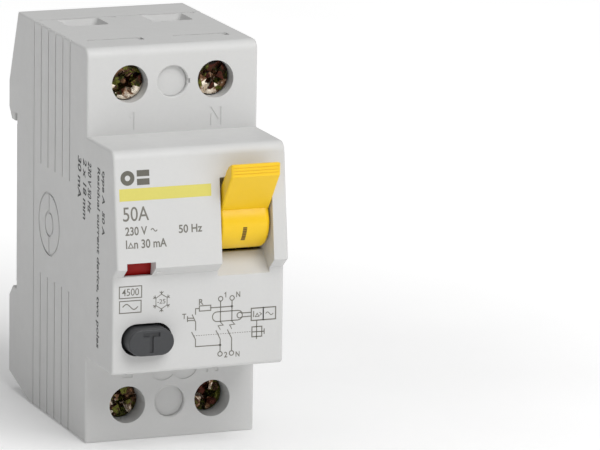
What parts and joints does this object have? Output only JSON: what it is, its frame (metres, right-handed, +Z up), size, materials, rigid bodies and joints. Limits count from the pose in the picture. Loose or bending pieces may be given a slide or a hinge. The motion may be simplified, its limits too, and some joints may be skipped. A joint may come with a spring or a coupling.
{
  "type": "residual current device",
  "caption": "Rail-mounted residual current device with a nose front, tilting toggle, test button, flag window and screw cage terminals at both ends.",
  "frame": {"origin": "centre of the face that rests on the rail", "axes": "+X across the modules to the right, +Y back towards the rail, +Z up; the front faces -Y"},
  "size_m": [0.036, 0.071, 0.0802],
  "materials": {
    "housing": "fine satin moulding",
    "clip": "satin",
    "toggle": "semi-gloss",
    "button": "satin",
    "flag_red": "satin",
    "flag_green": "satin",
    "inner_plastic": "satin",
    "relay": "satin",
    "steel": "bright zinc",
    "zinc_screw": "yellow passivated zinc",
    "copper": "bare copper",
    "winding": "enamelled copper",
    "core": "coated",
    "brass_part": "satin",
    "resistor": "lacquered"
  },
  "bodies": {
    "case": {"rear_base": "housing", "front_cover": "housing", "case_screws": "steel", "screw_plugs": "housing", "din_clip_spring": "steel", "handle_pin": "steel", "handle_spring": "steel", "frame_plate_left": "steel", "frame_plate_right": "steel", "frame_spacers": "steel", "carrier_axle": "steel", "fixed_contact_left": "copper", "fixed_contact_right": "copper", "outgoing_strip_left": "copper", "outgoing_strip_right": "copper", "toroid_core": "core", "secondary_winding": "winding", "primary_conductor_left": "copper", "primary_conductor_right": "copper", "trip_relay": "relay", "trip_lever_pin": "steel", "test_button_spring": "steel", "test_contact_strip": "brass_part", "test_resistor": "resistor", "flag_pin": "steel"},
    "toggle": {"toggle_handle": "toggle"},
    "link": {"link_rod": "steel"},
    "carrier": {"contact_carrier": "inner_plastic", "moving_contact_left": "copper", "moving_contact_right": "copper", "contact_springs": "steel"},
    "flag": {"position_flag": "flag_red", "flag_green_face": "flag_green"},
    "button": {"test_button": "button"},
    "trip": {"trip_lever": "inner_plastic"},
    "plunger": {"relay_plunger": "steel"},
    "clip": {"din_clip": "clip"},
    "screw_upper_left": {"terminal_screw_upper_left": "zinc_screw"},
    "cage_upper_left": {"terminal_cage_upper_left": "steel"},
    "screw_upper_right": {"terminal_screw_upper_right": "zinc_screw"},
    "cage_upper_right": {"terminal_cage_upper_right": "steel"},
    "screw_lower_left": {"terminal_screw_lower_left": "zinc_screw"},
    "cage_lower_left": {"terminal_cage_lower_left": "steel"},
    "screw_lower_right": {"terminal_screw_lower_right": "zinc_screw"},
    "cage_lower_right": {"terminal_cage_lower_right": "steel"}
  },
  "joints": [
    {"name": "toggle_turn", "type": "hinge", "parent": "case", "child": "toggle", "pos_m": [0, -0.0554, 0.0063], "axis": [1, 0, 0], "range_deg": [0, 100], "deforming": ["handle_spring"]},
    {"name": "link_turn", "type": "hinge", "parent": "toggle", "child": "link", "pos_m": [0, -0.05283, 0.00324], "axis": [1, 0, 0], "range_deg": [-100, 0]},
    {"name": "contact_turn", "type": "hinge", "parent": "case", "child": "carrier", "pos_m": [0, -0.0412, -0.0037], "axis": [1, 0, 0], "range_deg": [-29.6, 0]},
    {"name": "flag_turn", "type": "hinge", "parent": "case", "child": "flag", "pos_m": [0, -0.0529, -0.0005], "axis": [1, 0, 0], "range_deg": [0, 68]},
    {"name": "test_press", "type": "slide", "parent": "case", "child": "button", "axis": [0, 1, 0], "range_m": [0, 0.002], "stiffness_N_per_m": 300, "springref_m": -0.003, "deforming": ["test_button_spring"]},
    {"name": "plunger_lift", "type": "slide", "parent": "case", "child": "plunger", "axis": [0, 0, 1], "range_m": [0, 0.00067], "stiffness_N_per_m": 100, "springref_m": -0.0005},
    {"name": "trip_turn", "type": "hinge", "parent": "case", "child": "trip", "pos_m": [0, -0.0535, -0.0106], "axis": [1, 0, 0], "range_deg": [0, 11]},
    {"name": "clip_pull", "type": "slide", "parent": "case", "child": "clip", "axis": [0, 0, -1], "range_m": [0, 0.005], "stiffness_N_per_m": 400, "springref_m": -0.003, "deforming": ["din_clip_spring"]},
    {"name": "cage_rise_upper_left", "type": "slide", "parent": "case", "child": "cage_upper_left", "axis": [0, -1, 0], "range_m": [0, 0.0072]},
    {"name": "screw_turn_upper_left", "type": "hinge", "parent": "case", "child": "screw_upper_left", "pos_m": [-0.00905, -0.03, 0.03265], "axis": [0, 1, 0], "range_deg": [0, 3240]},
    {"name": "cage_rise_upper_right", "type": "slide", "parent": "case", "child": "cage_upper_right", "axis": [0, -1, 0], "range_m": [0, 0.0072]},
    {"name": "screw_turn_upper_right", "type": "hinge", "parent": "case", "child": "screw_upper_right", "pos_m": [0.00905, -0.03, 0.03265], "axis": [0, 1, 0], "range_deg": [0, 3240]},
    {"name": "cage_rise_lower_left", "type": "slide", "parent": "case", "child": "cage_lower_left", "axis": [0, -1, 0], "range_m": [0, 0.0072]},
    {"name": "screw_turn_lower_left", "type": "hinge", "parent": "case", "child": "screw_lower_left", "pos_m": [-0.00905, -0.03, -0.0329], "axis": [0, 1, 0], "range_deg": [0, 3240]},
    {"name": "cage_rise_lower_right", "type": "slide", "parent": "case", "child": "cage_lower_right", "axis": [0, -1, 0], "range_m": [0, 0.0072]},
    {"name": "screw_turn_lower_right", "type": "hinge", "parent": "case", "child": "screw_lower_right", "pos_m": [0.00905, -0.03, -0.0329], "axis": [0, 1, 0], "range_deg": [0, 3240]}
  ],
  "couplings": [
    {"joint": "link_turn", "follows": "toggle_turn", "ratio": -1},
    {"joint": "contact_turn", "follows": "toggle_turn", "ratio": -0.296},
    {"joint": "flag_turn", "follows": "toggle_turn", "ratio": 0.68},
    {"joint": "trip_turn", "follows": "plunger_lift", "rad_per_m": 285.71},
    {"joint": "screw_turn_upper_left", "follows": "cage_rise_upper_left", "rad_per_m": 7854},
    {"joint": "screw_turn_upper_right", "follows": "cage_rise_upper_right", "rad_per_m": 7854},
    {"joint": "screw_turn_lower_left", "follows": "cage_rise_lower_left", "rad_per_m": 7854},
    {"joint": "screw_turn_lower_right", "follows": "cage_rise_lower_right", "rad_per_m": 7854}
  ]
}
